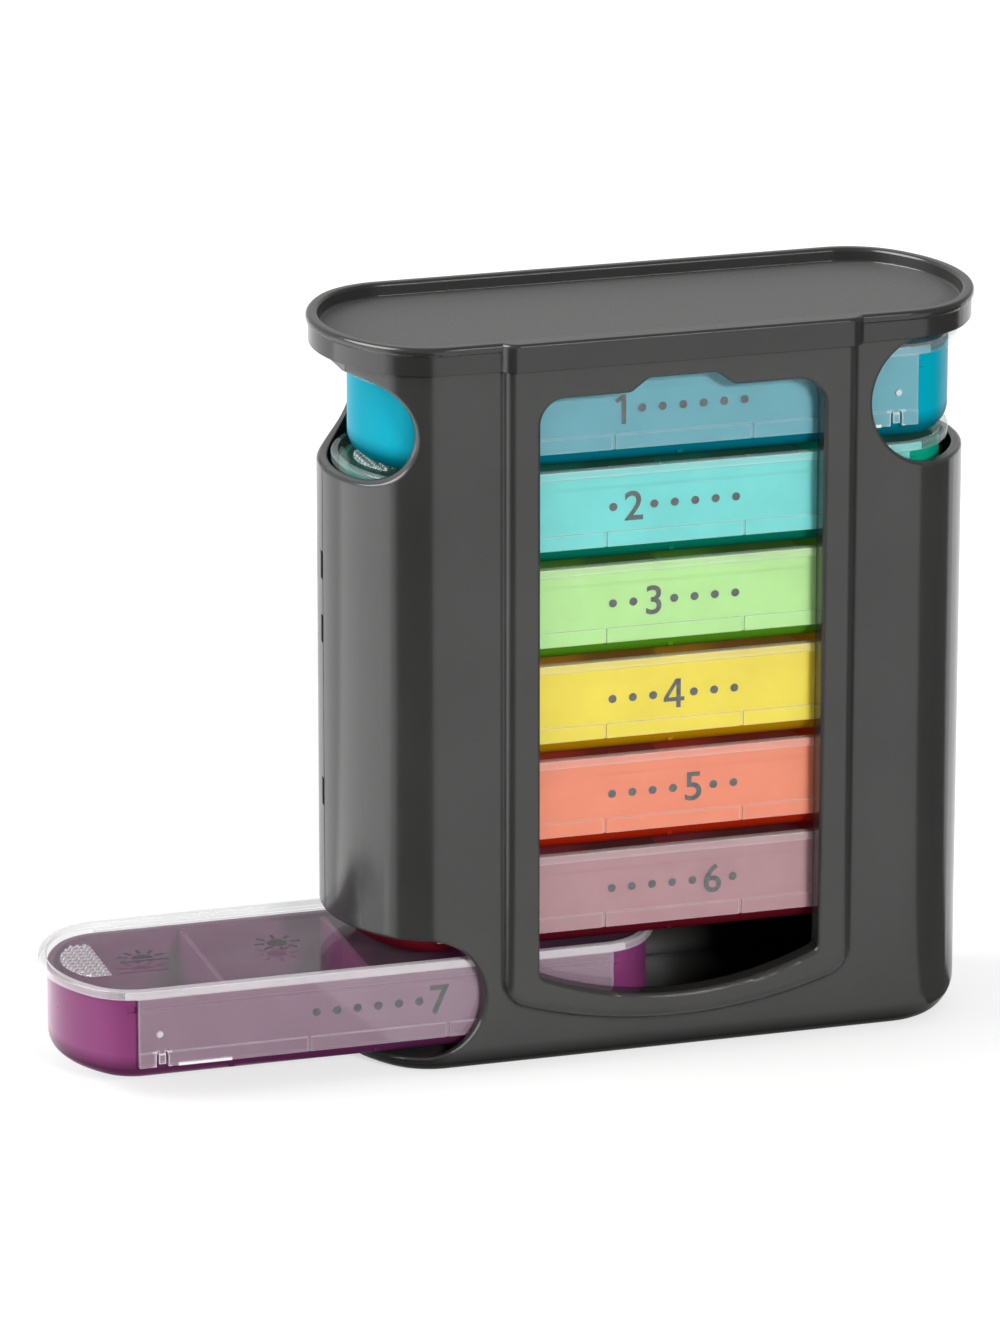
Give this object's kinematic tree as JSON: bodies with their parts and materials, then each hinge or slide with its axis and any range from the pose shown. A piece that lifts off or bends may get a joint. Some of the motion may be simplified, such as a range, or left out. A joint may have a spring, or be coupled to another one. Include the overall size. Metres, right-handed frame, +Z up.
{
  "type": "weekly pill organizer",
  "caption": "Upright pill tower: coloured compartment trays stacked behind a front window in a dark housing, each under a clear sliding lid, the lowest drawn out as a drawer.",
  "frame": {"origin": "middle of the tower's foot, on the table", "axes": "+X along the tower's length, away from the drawer's mouth; -Y is the window side; +Z up"},
  "size_m": [0.2041, 0.0591, 0.16],
  "materials": {
    "housing": "dark graphite, glossy moulded",
    "cap": "dark graphite, satin top",
    "tray_sat": "purple, moulded",
    "tray_fri": "crimson, moulded",
    "tray_thu": "orange red, moulded",
    "tray_wed": "yellow, moulded",
    "tray_tue": "lime green, moulded",
    "tray_mon": "teal, moulded",
    "tray_sun": "cyan, moulded",
    "lid_clear": "clear, slightly milky on the skirt"
  },
  "bodies": {
    "tower": {"housing_front": "housing", "housing_rear": "housing", "top_cap": "cap"},
    "saturday": {"tray_sat": "tray_sat"},
    "saturday_lid": {"lid_sat": "lid_clear"},
    "friday": {"tray_fri": "tray_fri", "lid_fri": "lid_clear"},
    "thursday": {"tray_thu": "tray_thu", "lid_thu": "lid_clear"},
    "wednesday": {"tray_wed": "tray_wed", "lid_wed": "lid_clear"},
    "tuesday": {"tray_tue": "tray_tue", "lid_tue": "lid_clear"},
    "monday": {"tray_mon": "tray_mon", "lid_mon": "lid_clear"},
    "sunday": {"tray_sun": "tray_sun"},
    "sunday_lid": {"lid_sun": "lid_clear"}
  },
  "joints": [
    {"name": "saturday_slide", "type": "slide", "parent": "tower", "child": "saturday", "axis": [-1, 0, 0], "range_m": [-0.065, 0.045]},
    {"name": "saturday_lid_slide", "type": "slide", "parent": "saturday", "child": "saturday_lid", "axis": [-1, 0, 0], "range_m": [0, 0.095]},
    {"name": "friday_lift", "type": "slide", "parent": "tower", "child": "friday", "axis": [0, 0, 1], "range_m": [0, 0.0024]},
    {"name": "thursday_lift", "type": "slide", "parent": "tower", "child": "thursday", "axis": [0, 0, 1], "range_m": [0, 0.0024]},
    {"name": "wednesday_lift", "type": "slide", "parent": "tower", "child": "wednesday", "axis": [0, 0, 1], "range_m": [0, 0.0024]},
    {"name": "tuesday_lift", "type": "slide", "parent": "tower", "child": "tuesday", "axis": [0, 0, 1], "range_m": [0, 0.0024]},
    {"name": "monday_lift", "type": "slide", "parent": "tower", "child": "monday", "axis": [0, 0, 1], "range_m": [0, 0.0024]},
    {"name": "sunday_slide", "type": "slide", "parent": "monday", "child": "sunday", "axis": [1, 0, 0], "range_m": [-0.0017, 0.1]},
    {"name": "sunday_lid_slide", "type": "slide", "parent": "sunday", "child": "sunday_lid", "axis": [1, 0, 0], "range_m": [0, 0.095]}
  ],
  "couplings": [
    {"joint": "thursday_lift", "follows": "friday_lift", "ratio": 1},
    {"joint": "wednesday_lift", "follows": "friday_lift", "ratio": 1},
    {"joint": "tuesday_lift", "follows": "friday_lift", "ratio": 1},
    {"joint": "monday_lift", "follows": "friday_lift", "ratio": 1}
  ]
}
